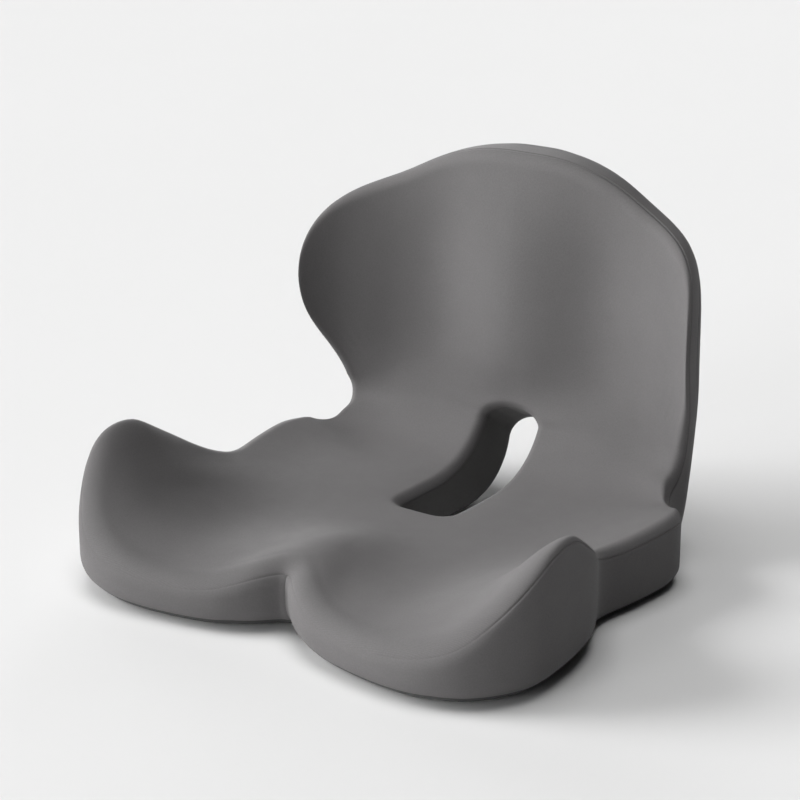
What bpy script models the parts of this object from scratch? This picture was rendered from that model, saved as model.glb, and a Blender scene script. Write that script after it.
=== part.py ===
"""One-piece seat cushion with an integrated backrest.

A single moulded foam body, shaped like an L with raised thigh wings, a waist, a wrapping back and
a long tailbone slot, wears a zipped fabric cover sewn from panels. The cover's panels are thin
solids that follow the foam. A vertical zip on the rear face has a sliding zip slider, and a pull
tab hangs from the slider.

Units: the driving dimensions are in millimetres and MM turns them into metres. +Z is up, the
sitter faces -Y, and the object is symmetric about X = 0.

How the body is described: its outline and its slot are drawn on a flat sheet with the coordinates
(a, s). The sheet is then folded along s = 0, so that s < 0 becomes the seat and s > 0 the back.
Every sheet point has a place on the under side (floor and rear wall) and one on the contact side.
"""

import math

import bpy
import numpy as np

MM = 0.001

# Rear wall, in plan: a broad middle arc, then a tighter arc that wraps round to each side.
WALL_Y = 200.2
WALL_MID_RADIUS = 508.0
WALL_MID_HALF_ARC = 117.0
WALL_SIDE_RADIUS = 108.5
SHEET_HALF_WIDTH = 200.0
EDGE_LIMIT = 1.1  # blends that grow towards a side stop at this share of their reach

# Seat
SEAT_HEIGHT = 46.0
FOLD_FADE = 130.0
WING_HEIGHT = 85.0
WING_Y = -101.5
WING_REACH_FRONT = 70.0
WING_REACH_REAR = 46.5
WING_INNER_X = 80.0
WING_OUTER_X = 219.0
WING_POWER = 2.2
WING_FLATNESS = 2.2  # 2 is a plain bell along the crest, and more than 2 has a flatter top
HIP_RISE = 18.0
HIP_X = 195.0
HIP_START_Y = -84.0
HIP_BLEND = 70.0
HIP_POWER = 4
POMMEL_RISE = 13.0
POMMEL_WIDTH = 30.0
POMMEL_END_Y = -24.0
POMMEL_BLEND = 90.0
LIP_DROP = 4.0
LIP_START_Y = -134.0
LIP_BLEND = 60.0
RELIEF_END_S = 60.0

# Back
BACK_THICK_MIDDLE = 45.5
BACK_THICK_EDGE = 29.5
LUMBAR_START_S = 70.0
LUMBAR_BLEND = 90.0
LUMBAR_END_S = 355.0
LUMBAR_FADE = 140.0
LUMBAR_RISE = 8.0
LUMBAR_WIDTH = 38.0
VALLEY_DEPTH = 6.0
VALLEY_A = 88.0
VALLEY_WIDTH = 34.0
WAIST_SET_BACK = 17.5
WAIST_S = 75.0
WAIST_REACH = 40.0

# Fold between seat and back, inside and underneath
KNEE_RADIUS_MIDDLE = 85.0
KNEE_RADIUS_EDGE = 37.0
HEEL_RADIUS_MIDDLE = 75.0
HEEL_RADIUS_EDGE = 31.5

# Edge roundings: those of the back, which grow to the fuller ones of the front lobes
RIM_RADIUS = 12.5
RIM_RADIUS_FRONT = 21.5
FOOT_RADIUS = 16.0
FOOT_RADIUS_FRONT = 26.5
RIM_SHARE = 0.42  # the most of the local thickness that the upper rounding takes
FOOT_SHARE = 0.52  # and the lower one
SEAM_DEPTH = 10.5  # of the seam between the top panel and the side bands
FRONT_START_S = -200.0
FRONT_BLEND = 80.0
SLOT_RIM_RADIUS = 9.0
SLOT_FOOT_RADIUS = 12.0

# Tailbone slot on the sheet
SLOT_FRONT_S = -185.0
SLOT_TOP_S = 68.0
SLOT_HALF_WIDTH = 26.0
SLOT_FRONT_SQUARENESS = 4.5

# Right half of the outline on the sheet, from the front notch round to the middle of the top.
# They are the control points of a closed cubic spline, which runs a little inside them.
OUTLINE = (
    (0, -357), (10, -371), (35, -391), (78, -401), (138, -409), (186, -396), (217, -351),
    (218, -315), (212, -250), (183, -217), (195, -174), (201, -121), (199, -89), (204, -68),
    (176, -22), (173, 46), (182, 105), (221, 153), (227, 208), (201, 247), (162, 268), (122, 281),
    (84, 303), (38, 315), (0, 315),
)

# Cover
CLOTH = 1.5
GAP = 0.3
CLOSURE_TAPE = 0.8
CLOSURE_WIDTH = 20.0

# Zip on the rear face
ZIP_BOTTOM_Z = 106.0
ZIP_TOP_Z = 288.0
ZIP_OPENING_HALF = 6.0
TAPE_THICK = 0.6
TAPE_SET_BACK = 0.5
TAPE_OUTER_X = 13.0
TAPE_INNER_X = 0.9
TAPE_OVERLAP = 2.5
TEETH_INNER_X = 0.8
TEETH_OUTER_X = 2.9
TEETH_THICK = 2.0
STOP_LENGTH = 2.6
SLIDER_LENGTH = 12.0
SLIDER_WIDTH = 8.6
SLIDER_PLATE = 1.0
SLIDER_FLANGE = 0.9
SLIDER_CLEAR = 0.5
POST_WIDTH = 0.8
POST_LENGTH = 4.0
ARCH_HALF_LENGTH = 3.4
ARCH_LEG = 1.2
ARCH_RISE = 3.8
ARCH_WIDTH = 2.0
PULL_LENGTH = 24.0
PULL_WIDTH = 6.4
PULL_THICK = 1.2
PULL_EYE_WIDTH = 3.4
PULL_EYE_LENGTH = 5.8
PULL_AXIS_RISE = 1.3
LAP = 0.2  # how far joined pieces run into each other
CUTTER_REACH = 20.0  # how far a cutter runs past what it cuts

# Mesh
COLUMNS = 64
RIM_STEPS = 3
TOP_STEPS = 7
BAND_STEPS = 2
FOOT_STEPS = 2
BASE_STEPS = 5
SLOT_STEPS = 3


def smooth(t):
    """0 below t = 0, 1 above t = 1, with a smooth rise between."""
    t = np.clip(t, 0.0, 1.0)
    return t * t * (3.0 - 2.0 * t)


def bell(t, power=2.0):
    return np.exp(-0.5 * np.abs(t) ** power)


def edge_share(a):
    """0 in the middle of the sheet, 1 at its side edges."""
    return np.clip(np.abs(a) / SHEET_HALF_WIDTH, 0.0, EDGE_LIMIT)


def wall(a):
    """The rear wall in plan, at arc length a from its middle."""
    side = np.sign(a)
    arc = np.abs(a)
    turn_mid = WALL_MID_HALF_ARC / WALL_MID_RADIUS
    turn = np.where(
        arc < WALL_MID_HALF_ARC,
        arc / WALL_MID_RADIUS,
        turn_mid + (arc - WALL_MID_HALF_ARC) / WALL_SIDE_RADIUS,
    )
    turn_in_mid = np.minimum(turn, turn_mid)
    x = WALL_MID_RADIUS * np.sin(turn_in_mid)
    x = x + WALL_SIDE_RADIUS * (np.sin(turn) - np.sin(turn_in_mid))
    y = WALL_Y - WALL_MID_RADIUS * (1.0 - np.cos(turn_in_mid))
    y = y - WALL_SIDE_RADIUS * (np.cos(turn_in_mid) - np.cos(turn))
    return side * x, y


def rear_place(a, s):
    """The rear wall in plan at height s: its sides are set back a little at the waist."""
    x, y = wall(a)
    return x, y + WAIST_SET_BACK * bell((s - WAIST_S) / WAIST_REACH) * edge_share(a) ** 2


def floor_place(a, s):
    """Where a seat point (s < 0) stands on the floor: the fold's curve fades out forwards."""
    x, y = wall(a)
    ahead = smooth(-s / FOLD_FADE)
    return x + (a - x) * ahead, y + (WALL_Y - y) * ahead + np.minimum(s, 0.0)


def back_thickness(a, s):
    """Thickness of the back along Y, with the lumbar ridge and the valleys beside it."""
    thick = BACK_THICK_MIDDLE + (BACK_THICK_EDGE - BACK_THICK_MIDDLE) * edge_share(a) ** 2
    rise = smooth((s - LUMBAR_START_S) / LUMBAR_BLEND)
    fade = smooth((LUMBAR_END_S - s) / LUMBAR_FADE)
    ridge = LUMBAR_RISE * bell(a / LUMBAR_WIDTH)
    valley = VALLEY_DEPTH * bell((np.abs(a) - VALLEY_A) / VALLEY_WIDTH)
    return thick + (ridge - valley) * rise * fade


def seat_relief(a, s):
    """Height above the plain seat: thigh wings, raised hips, the pommel and the front lip."""
    x, y = floor_place(a, s)
    out = np.abs(x)
    along = y - WING_Y
    reach = np.where(along < 0.0, WING_REACH_FRONT, WING_REACH_REAR)
    across = np.clip((out - WING_INNER_X) / (WING_OUTER_X - WING_INNER_X), 0.0, EDGE_LIMIT)
    wing = WING_HEIGHT * bell(along / reach, WING_FLATNESS) * across**WING_POWER
    hip_share = np.clip(out / HIP_X, 0.0, EDGE_LIMIT) ** HIP_POWER
    hip = HIP_RISE * hip_share * smooth((y - HIP_START_Y) / HIP_BLEND)
    pommel = POMMEL_RISE * bell(out / POMMEL_WIDTH) * smooth((POMMEL_END_Y - y) / POMMEL_BLEND)
    lip = LIP_DROP * smooth((LIP_START_Y - y) / LIP_BLEND) * smooth(out / LIP_BLEND)
    return (wing + hip + pommel - lip) * smooth((RELIEF_END_S - s) / RELIEF_END_S)


def fold(before, corner, after, t):
    """A smooth bend from one point past a corner to another."""
    t = t[:, None]
    return (1.0 - t) ** 2 * before + 2.0 * t * (1.0 - t) * corner + t * t * after


def points(x, y, z):
    return np.stack(np.broadcast_arrays(x, y, z), axis=-1).astype(float)


def under_side(sheet):
    """The floor and the rear wall."""
    a, s = sheet[:, 0], sheet[:, 1]
    x, y = rear_place(a, s)
    radius = HEEL_RADIUS_MIDDLE + (HEEL_RADIUS_EDGE - HEEL_RADIUS_MIDDLE) * edge_share(a) ** 2
    floor = points(*floor_place(a, s), 0.0)
    rear = points(x, y, s)
    heel = fold(
        points(*floor_place(a, -radius), 0.0),
        points(x, y, 0.0),
        points(x, y, radius),
        np.clip((s + radius) / (2.0 * radius), 0.0, 1.0),
    )
    on_floor = (s < -radius)[:, None]
    on_rear = (s > radius)[:, None]
    return np.where(on_floor, floor, np.where(on_rear, rear, heel))


def contact_side(sheet):
    """The seat's top and the back's front."""
    a, s = sheet[:, 0], sheet[:, 1]
    x, y = rear_place(a, s)
    thick = back_thickness(a, s)
    front_y = y - thick
    radius = KNEE_RADIUS_MIDDLE + (KNEE_RADIUS_EDGE - KNEE_RADIUS_MIDDLE) * edge_share(a) ** 2
    knee_start = -(thick + radius)
    knee_end = SEAT_HEIGHT + radius
    seat = points(*floor_place(a, s), SEAT_HEIGHT)
    back = points(x, front_y, s)
    knee = fold(
        points(*floor_place(a, knee_start), SEAT_HEIGHT),
        points(x, front_y, SEAT_HEIGHT),
        points(x, front_y, knee_end),
        np.clip((s - knee_start) / (knee_end - knee_start), 0.0, 1.0),
    )
    on_seat = (s < knee_start)[:, None]
    on_back = (s > knee_end)[:, None]
    surface = np.where(on_seat, seat, np.where(on_back, back, knee))
    surface[:, 2] += seat_relief(a, s)
    return surface


def below_contact(sheet, depth):
    """Points at a depth under the contact side, towards the under side."""
    top, under = contact_side(sheet), under_side(sheet)
    step = (under - top) / np.linalg.norm(under - top, axis=1, keepdims=True)
    return top + step * depth


def above_under(sheet, height):
    """Points at a height over the under side, towards the contact side."""
    top, under = contact_side(sheet), under_side(sheet)
    step = (top - under) / np.linalg.norm(top - under, axis=1, keepdims=True)
    return under + step * height


def outline_loop(columns):
    """The closed outline on the sheet, anticlockwise from the front notch."""
    right = np.array(OUTLINE, float)
    left = right[1:-1][::-1] * (-1.0, 1.0)
    control = np.vstack([right, left])
    place = np.arange(columns) * len(control) / columns
    span = np.floor(place).astype(int)
    u = (place - span)[:, None]
    p0, p1, p2, p3 = (control[(span + k - 1) % len(control)] for k in range(4))
    spline = (1.0 - u) ** 3 * p0 + (3.0 * u**3 - 6.0 * u**2 + 4.0) * p1
    spline = spline + (-3.0 * u**3 + 3.0 * u**2 + 3.0 * u + 1.0) * p2 + u**3 * p3
    return spline / 6.0


def slot_loop(outline):
    """The slot's edge on the sheet, with one point for each point of the outline."""
    low = SLOT_FRONT_S + SLOT_HALF_WIDTH
    high = SLOT_TOP_S - SLOT_HALF_WIDTH
    middle = np.clip(outline[:, 1], low, high)
    away = outline - points(0.0, middle, 0.0)[:, :2]
    power = np.where(outline[:, 1] < low, SLOT_FRONT_SQUARENESS, 2.0)[:, None]
    size = (np.abs(away) ** power).sum(axis=1, keepdims=True) ** (1.0 / power)
    return points(0.0, middle, 0.0)[:, :2] + SLOT_HALF_WIDTH * away / size


def left_of(loop):
    """Unit normals to the left of a closed loop's direction."""
    along = np.roll(loop, -1, axis=0) - np.roll(loop, 1, axis=0)
    along = along / np.linalg.norm(along, axis=1, keepdims=True)
    return np.stack([-along[:, 1], along[:, 0]], axis=1)


def quarter(steps):
    """Angles of a quarter turn, both ends included."""
    return np.linspace(0.0, math.pi / 2.0, steps + 1)


def between(steps):
    """Fractions strictly between 0 and 1."""
    return np.linspace(0.0, 1.0, steps + 1)[1:-1]


def edge_radii(outline):
    """The radii of the upper and the lower edge rounding at each point of the outline, as columns."""
    thick = np.linalg.norm(contact_side(outline) - under_side(outline), axis=1, keepdims=True)
    front = smooth((FRONT_START_S - outline[:, 1:]) / FRONT_BLEND)
    rim = RIM_RADIUS + (RIM_RADIUS_FRONT - RIM_RADIUS) * front
    foot = FOOT_RADIUS + (FOOT_RADIUS_FRONT - FOOT_RADIUS) * front
    return np.minimum(rim, RIM_SHARE * thick), np.minimum(foot, FOOT_SHARE * thick)


def body_grid():
    """The cushion's skin as closed rings, and the index of each seam's ring.

    The rings go round the section: over the slot's rim, across the contact side, down the side
    band, under the base and rear, and up the slot's wall again.
    """
    outline = outline_loop(COLUMNS)
    inward = left_of(outline)
    slot = slot_loop(outline)
    from_slot = -left_of(slot)
    rim_radius, foot_radius = edge_radii(outline)
    rings = []
    seams = {}

    for turn in quarter(RIM_STEPS):
        sheet = slot + from_slot * SLOT_RIM_RADIUS * (1.0 - math.cos(turn))
        rings.append(below_contact(sheet, SLOT_RIM_RADIUS * (1.0 - math.sin(turn))))
    seams["sleeve_top"] = 0

    inner, outer = slot + from_slot * SLOT_RIM_RADIUS, outline + inward * rim_radius
    for share in between(TOP_STEPS):
        rings.append(contact_side(inner * (1.0 - share) + outer * share))

    seam_turn = np.arccos(1.0 - SEAM_DEPTH / rim_radius)
    for turn in (*(seam_turn * share for share in np.linspace(0.0, 1.0, RIM_STEPS + 1)), math.pi / 2.0):
        sheet = outline + inward * rim_radius * (1.0 - np.sin(turn))
        rings.append(below_contact(sheet, rim_radius * (1.0 - np.cos(turn))))
    seams["band_top"] = len(rings) - 2

    band_top, band_foot = rings[-1], above_under(outline, foot_radius)
    for share in between(BAND_STEPS):
        rings.append(band_top * (1.0 - share) + band_foot * share)

    for turn in quarter(FOOT_STEPS):
        sheet = outline + inward * foot_radius * (1.0 - math.cos(turn))
        rings.append(above_under(sheet, foot_radius * (1.0 - math.sin(turn))))
    seams["band_foot"] = len(rings) - 1 - FOOT_STEPS // 2

    outer, inner = outline + inward * foot_radius, slot + from_slot * SLOT_FOOT_RADIUS
    reach = outer - inner
    reach = reach / np.linalg.norm(reach, axis=1, keepdims=True)
    closure = inner + reach * CLOSURE_WIDTH
    for share in between(BASE_STEPS):
        rings.append(under_side(outer * (1.0 - share) + closure * share))
    rings.append(under_side(closure))
    seams["closure_outer"] = len(rings) - 1
    rings.append(under_side(inner + reach * CLOSURE_WIDTH * 0.5))

    for turn in quarter(FOOT_STEPS):
        sheet = slot + from_slot * SLOT_FOOT_RADIUS * (1.0 - math.sin(turn))
        rings.append(above_under(sheet, SLOT_FOOT_RADIUS * (1.0 - math.cos(turn))))
    seams["sleeve_foot"] = len(rings) - 1 - FOOT_STEPS

    wall_foot, wall_top = rings[-1], rings[0]
    for share in between(SLOT_STEPS):
        rings.append(wall_foot * (1.0 - share) + wall_top * share)

    return np.stack(rings), seams


def outward_normals(grid):
    around = np.roll(grid, -1, axis=1) - np.roll(grid, 1, axis=1)
    across = np.roll(grid, -1, axis=0) - np.roll(grid, 1, axis=0)
    normal = np.cross(across, around)
    return normal / np.linalg.norm(normal, axis=2, keepdims=True)


def material(name, colour, roughness, metallic=0.0):
    made = bpy.data.materials.new(name)
    made.use_nodes = True
    shader = made.node_tree.nodes["Principled BSDF"]
    shader.inputs["Base Color"].default_value = (*colour, 1.0)
    shader.inputs["Roughness"].default_value = roughness
    shader.inputs["Metallic"].default_value = metallic
    return made


def add_object(name, vertices, faces, look, origin=(0.0, 0.0, 0.0)):
    """A mesh object from vertices in millimetres, with its origin at a point in millimetres."""
    mesh = bpy.data.meshes.new(name)
    moved = (np.asarray(vertices, float) - np.asarray(origin, float)) * MM
    mesh.from_pydata(moved.tolist(), [], [list(map(int, face)) for face in faces])
    mesh.materials.append(look)
    mesh.shade_smooth()
    mesh.set_sharp_from_angle(angle=math.radians(40.0))
    made = bpy.data.objects.new(name, mesh)
    made.location = np.asarray(origin, float) * MM
    bpy.context.scene.collection.objects.link(made)
    return made


def triangles(a, b, c, d):
    """A quad as two triangles, always split along a-c."""
    return [(a, b, c), (a, c, d)]


def closed_body(name, grid, look):
    """A solid from rings that close in both directions."""
    rings, columns = grid.shape[:2]
    faces = []
    for i in range(rings):
        for j in range(columns):
            k, m = (i + 1) % rings, (j + 1) % columns
            faces += triangles(
                i * columns + j, k * columns + j, k * columns + m, i * columns + m
            )
    return add_object(name, grid.reshape(-1, 3), faces, look)


def trimmed(patch, wrap):
    """A patch of the skin with its free edges drawn back by half a gap."""
    patch = patch.copy()
    ends = [(patch[0], patch[1]), (patch[-1], patch[-2])]
    if not wrap:
        ends += [(patch[:, 0], patch[:, 1]), (patch[:, -1], patch[:, -2])]
    for edge, inside in ends:
        step = inside - edge
        edge += step / np.linalg.norm(step, axis=1, keepdims=True) * GAP * 0.5
    return patch


def panel(name, skin, normals, look, ring_span, column_span=None, depth=0.0, thick=CLOTH):
    """A sheet of cloth that follows the skin between two rings and, if given, two columns."""
    ring_count, column_count = skin.shape[:2]
    first, last = ring_span
    ring_index = np.arange(first, last + 1) % ring_count
    wrap = column_span is None
    if wrap:
        column_index = np.arange(column_count)
    else:
        column_index = np.arange(column_span[0], column_span[1] + 1) % column_count
    pick = np.ix_(ring_index, column_index)
    face = trimmed(skin[pick], wrap)
    lean = normals[pick]
    outer, inner = face - lean * depth, face - lean * (depth + thick)
    rings, columns = face.shape[:2]
    layer = rings * columns
    spans = columns if wrap else columns - 1
    faces = []
    for i in range(rings - 1):
        for j in range(spans):
            m = (j + 1) % columns
            corners = (i * columns + j, (i + 1) * columns + j, (i + 1) * columns + m, i * columns + m)
            faces += triangles(*corners)
            faces += [tri[::-1] for tri in triangles(*(layer + c for c in corners))]
    for i, flip in ((0, False), (rings - 1, True)):
        for j in range(spans):
            a, b = i * columns + j, i * columns + (j + 1) % columns
            sides = triangles(a, b, layer + b, layer + a)
            faces += [tri[::-1] for tri in sides] if flip else sides
    if not wrap:
        for j, flip in ((0, True), (columns - 1, False)):
            for i in range(rings - 1):
                a, b = i * columns + j, (i + 1) * columns + j
                sides = triangles(a, b, layer + b, layer + a)
                faces += [tri[::-1] for tri in sides] if flip else sides
    return add_object(name, np.concatenate([outer.reshape(-1, 3), inner.reshape(-1, 3)]), faces, look)


def box_mesh(low, high):
    """The vertices and faces of a box."""
    vertices = [(x, y, z) for z in (low[2], high[2]) for y in (low[1], high[1]) for x in (low[0], high[0])]
    faces = [(0, 2, 3, 1), (4, 5, 7, 6), (0, 1, 5, 4), (2, 6, 7, 3), (0, 4, 6, 2), (1, 3, 7, 5)]
    return vertices, faces


def box(name, low, high, look, origin=(0.0, 0.0, 0.0)):
    return add_object(name, *box_mesh(low, high), look, origin)


def helper(name, low, high, look):
    """A box that only cuts or joins another piece."""
    made = box(name, low, high, look)
    made.hide_render = True
    made.display_type = "WIRE"
    return made


def combine(target, other, operation):
    modifier = target.modifiers.new(other.name, "BOOLEAN")
    modifier.object = other
    modifier.operation = operation
    modifier.solver = "EXACT"


def clear_scene():
    for old in list(bpy.data.objects):
        bpy.data.objects.remove(old, do_unlink=True)


def foam_core(skin, normals, seams):
    """The moulded body, just inside the cover and a little deeper under the slot's closure."""
    depth = np.full(len(skin), CLOTH + GAP)
    tapes = 2.0 * (CLOSURE_TAPE + GAP)
    depth[seams["closure_outer"] : seams["sleeve_foot"] + 1] += tapes
    look = material("foam", (0.78, 0.76, 0.70), 0.9)
    return closed_body("foam_core", skin - normals * depth[:, None, None], look)


def cover_panels(skin, normals, seams):
    knit = material("knit_fabric", (0.13, 0.125, 0.12), 0.85)
    sleeve = material("sleeve_fabric", (0.10, 0.097, 0.093), 0.9)
    grip = material("grip_fabric", (0.06, 0.06, 0.06), 0.7)
    closure = material("closure_tape", (0.05, 0.05, 0.05), 0.95)
    rings = len(skin)
    notch, top = 0, COLUMNS // 2
    heel_right = heel_column()
    heel_left = COLUMNS - heel_right
    top_span = (seams["sleeve_top"], seams["band_top"])
    band_span = (seams["band_top"], seams["band_foot"])
    under_span = (seams["band_foot"], seams["sleeve_foot"])
    panel("top_panel", skin, normals, knit, top_span)
    panel("side_band_right", skin, normals, knit, band_span, (notch, top))
    panel("side_band_left", skin, normals, knit, band_span, (top, COLUMNS))
    panel("base_panel", skin, normals, grip, under_span, (heel_left, COLUMNS + heel_right))
    right = panel("back_panel_right", skin, normals, knit, under_span, (heel_right, top))
    left = panel("back_panel_left", skin, normals, knit, under_span, (top, heel_left))
    panel("slot_sleeve", skin, normals, sleeve, (seams["sleeve_foot"], rings + seams["sleeve_top"]))
    loop_depth = CLOTH + GAP
    hook_depth = loop_depth + CLOSURE_TAPE + GAP
    closure_span = (seams["closure_outer"], seams["sleeve_foot"])
    panel("closure_loop_tape", skin, normals, closure, closure_span, None, loop_depth, CLOSURE_TAPE)
    panel("closure_hook_tape", skin, normals, closure, closure_span, None, hook_depth, CLOSURE_TAPE)
    return left, right


def heel_column():
    """The column whose outline point is nearest to the fold on the right side."""
    outline = outline_loop(COLUMNS)[: COLUMNS // 2]
    return int(np.argmin(np.abs(outline[:, 1])))


def zip_opening(panels, core):
    """Cuts the opening between the two back panels, and the foam's shallow recess behind it."""
    plain = material("cutter", (0.5, 0.5, 0.5), 0.5)
    behind = WALL_Y - CLOTH - TAPE_SET_BACK - GAP - TAPE_THICK - GAP
    opening = helper(
        "zip_opening_cutter",
        (-ZIP_OPENING_HALF, WALL_Y - CUTTER_REACH, ZIP_BOTTOM_Z),
        (ZIP_OPENING_HALF, WALL_Y + CUTTER_REACH, ZIP_TOP_Z),
        plain,
    )
    for cloth in panels:
        combine(cloth, opening, "DIFFERENCE")
    margin = TAPE_OVERLAP + GAP
    tape_recess = helper(
        "tape_recess_cutter",
        (-TAPE_OUTER_X - GAP, behind, ZIP_BOTTOM_Z - margin),
        (TAPE_OUTER_X + GAP, WALL_Y + CUTTER_REACH, ZIP_TOP_Z + margin),
        plain,
    )
    slider_recess = helper(
        "slider_recess_cutter",
        (-SLIDER_WIDTH / 2.0 - GAP, behind - SLIDER_CLEAR - SLIDER_PLATE - GAP, ZIP_BOTTOM_Z + GAP),
        (SLIDER_WIDTH / 2.0 + GAP, behind + GAP, ZIP_TOP_Z - GAP),
        plain,
    )
    combine(core, tape_recess, "DIFFERENCE")
    combine(core, slider_recess, "DIFFERENCE")


def zip_tapes_and_teeth():
    """The two woven tapes, their coils, and the stop at each end of the coils."""
    tape_look = material("zip_tape", (0.06, 0.058, 0.055), 0.85)
    coil_look = material("zip_coil", (0.05, 0.05, 0.05), 0.45)
    tape_back = WALL_Y - CLOTH - TAPE_SET_BACK - GAP - TAPE_THICK
    teeth_back = tape_back + TAPE_THICK + GAP
    first, last = ZIP_BOTTOM_Z + GAP + STOP_LENGTH + GAP, ZIP_TOP_Z - GAP - STOP_LENGTH - GAP
    for side, name in ((-1.0, "left"), (1.0, "right")):
        tape_x = sorted((side * TAPE_INNER_X, side * TAPE_OUTER_X))
        teeth_x = sorted((side * TEETH_INNER_X, side * TEETH_OUTER_X))
        box(
            f"zip_tape_{name}",
            (tape_x[0], tape_back, ZIP_BOTTOM_Z - TAPE_OVERLAP),
            (tape_x[1], tape_back + TAPE_THICK, ZIP_TOP_Z + TAPE_OVERLAP),
            tape_look,
        )
        box(
            f"zip_teeth_{name}",
            (teeth_x[0], teeth_back, first),
            (teeth_x[1], teeth_back + TEETH_THICK, last),
            coil_look,
        )
    for name, low in (("zip_bottom_stop", ZIP_BOTTOM_Z + GAP), ("zip_top_stop", last + GAP)):
        box(
            name,
            (-TEETH_OUTER_X, teeth_back, low),
            (TEETH_OUTER_X, teeth_back + TEETH_THICK, low + STOP_LENGTH),
            coil_look,
        )
    return tape_back, teeth_back, first


def zip_slider(tape_back, teeth_back, first):
    """Two plates joined by a post that runs between the teeth, with an arch for the pull tab."""
    look = material("zip_metal", (0.12, 0.12, 0.12), 0.35, 0.9)
    middle = first + GAP + SLIDER_LENGTH / 2.0
    half_w, half_l = SLIDER_WIDTH / 2.0, SLIDER_LENGTH / 2.0
    under_low = tape_back - SLIDER_CLEAR - SLIDER_PLATE
    over_low = teeth_back + TEETH_THICK + SLIDER_CLEAR
    over_top = over_low + SLIDER_PLATE
    slider = box(
        "zip_slider", (-half_w, over_low, middle - half_l), (half_w, over_top, middle + half_l), look
    )
    half_post = POST_WIDTH / 2.0
    parts = [
        ((-half_w, under_low, middle - half_l), (half_w, under_low + SLIDER_PLATE, middle + half_l)),
        (
            (-half_post, under_low + LAP, middle - half_l),
            (half_post, over_low + LAP, middle - half_l + POST_LENGTH),
        ),
    ]
    for side in (-1.0, 1.0):
        flange = sorted((side * (half_w - SLIDER_FLANGE), side * half_w))
        flange_low = teeth_back + SLIDER_CLEAR
        parts.append(
            ((flange[0], flange_low, middle - half_l), (flange[1], over_low + LAP, middle + half_l))
        )
        leg = sorted((side * (ARCH_HALF_LENGTH - ARCH_LEG), side * ARCH_HALF_LENGTH))
        parts.append(
            (
                (-ARCH_WIDTH / 2.0, over_top - LAP, middle + leg[0]),
                (ARCH_WIDTH / 2.0, over_top + ARCH_RISE, middle + leg[1]),
            )
        )
    parts.append(
        (
            (-ARCH_WIDTH / 2.0, over_top + ARCH_RISE - ARCH_LEG, middle - ARCH_HALF_LENGTH + LAP),
            (ARCH_WIDTH / 2.0, over_top + ARCH_RISE, middle + ARCH_HALF_LENGTH - LAP),
        )
    )
    for number, (low, high) in enumerate(parts):
        combine(slider, helper(f"slider_part_{number}", low, high, look), "UNION")
    return over_top, middle


def pull_tab(over_top, middle):
    """The pull tab, hanging from a cross bar under the slider's arch; its origin is on the bar."""
    look = material("pull_metal", (0.12, 0.12, 0.12), 0.3, 0.9)
    axis = (0.0, over_top + PULL_AXIS_RISE, middle)
    half_thick = PULL_THICK / 2.0
    tab = box(
        "zip_pull",
        (-PULL_WIDTH / 2.0, axis[1] - half_thick, middle - PULL_LENGTH),
        (PULL_WIDTH / 2.0, axis[1] + half_thick, middle + half_thick),
        look,
        axis,
    )
    eye = helper(
        "pull_eye_cutter",
        (-PULL_EYE_WIDTH / 2.0, axis[1] - CUTTER_REACH, middle - half_thick - PULL_EYE_LENGTH),
        (PULL_EYE_WIDTH / 2.0, axis[1] + CUTTER_REACH, middle - half_thick),
        look,
    )
    combine(tab, eye, "DIFFERENCE")


def main():
    clear_scene()
    skin, seams = body_grid()
    normals = outward_normals(skin)
    core = foam_core(skin, normals, seams)
    back_panels = cover_panels(skin, normals, seams)
    zip_opening(back_panels, core)
    tape_back, teeth_back, first = zip_tapes_and_teeth()
    over_top, middle = zip_slider(tape_back, teeth_back, first)
    pull_tab(over_top, middle)


main()
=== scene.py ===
"""Looks of the one-piece seat cushion: its sewn cover, the foam inside it, the zip and the studio.

Lengths of the object are in millimetres and MM turns them into metres. The cover is drawn on the
same flat sheet as the CAD body, with a little more relief. The outline and the slot have the
coordinates (a, s) on it, and the sheet is folded along s = 0, so that s < 0 becomes the seat and
s > 0 the back.
"""

import math

import bpy
import numpy as np
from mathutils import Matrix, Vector


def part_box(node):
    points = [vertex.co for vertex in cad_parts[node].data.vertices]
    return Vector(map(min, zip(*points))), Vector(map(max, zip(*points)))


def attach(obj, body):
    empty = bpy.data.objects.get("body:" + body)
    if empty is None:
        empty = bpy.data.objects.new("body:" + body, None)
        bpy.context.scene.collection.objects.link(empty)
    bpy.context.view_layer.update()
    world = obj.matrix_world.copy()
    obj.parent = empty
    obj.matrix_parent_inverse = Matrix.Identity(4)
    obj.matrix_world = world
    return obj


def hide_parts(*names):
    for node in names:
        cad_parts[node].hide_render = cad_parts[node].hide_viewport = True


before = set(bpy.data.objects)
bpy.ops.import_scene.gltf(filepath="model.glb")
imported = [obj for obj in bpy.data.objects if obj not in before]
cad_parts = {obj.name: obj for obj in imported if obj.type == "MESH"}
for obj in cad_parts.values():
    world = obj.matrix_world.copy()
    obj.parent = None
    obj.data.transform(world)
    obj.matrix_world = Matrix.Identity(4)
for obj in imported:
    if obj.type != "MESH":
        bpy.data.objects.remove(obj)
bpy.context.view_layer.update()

MM = 0.001


def node_box(node):
    """The lowest and highest corner of a CAD node in millimetres."""
    low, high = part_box(node)
    return np.array(low) / MM, np.array(high) / MM


# Rear wall, in plan: a broad middle arc, then a tighter arc that wraps round to each side.
WALL_Y = float(node_box("back_panel_left")[1][1])
WALL_MID_RADIUS = 508.0
WALL_MID_HALF_ARC = 117.0
WALL_SIDE_RADIUS = 108.5
SHEET_HALF_WIDTH = 200.0
EDGE_LIMIT = 1.1  # blends that grow towards a side stop at this share of their reach

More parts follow.
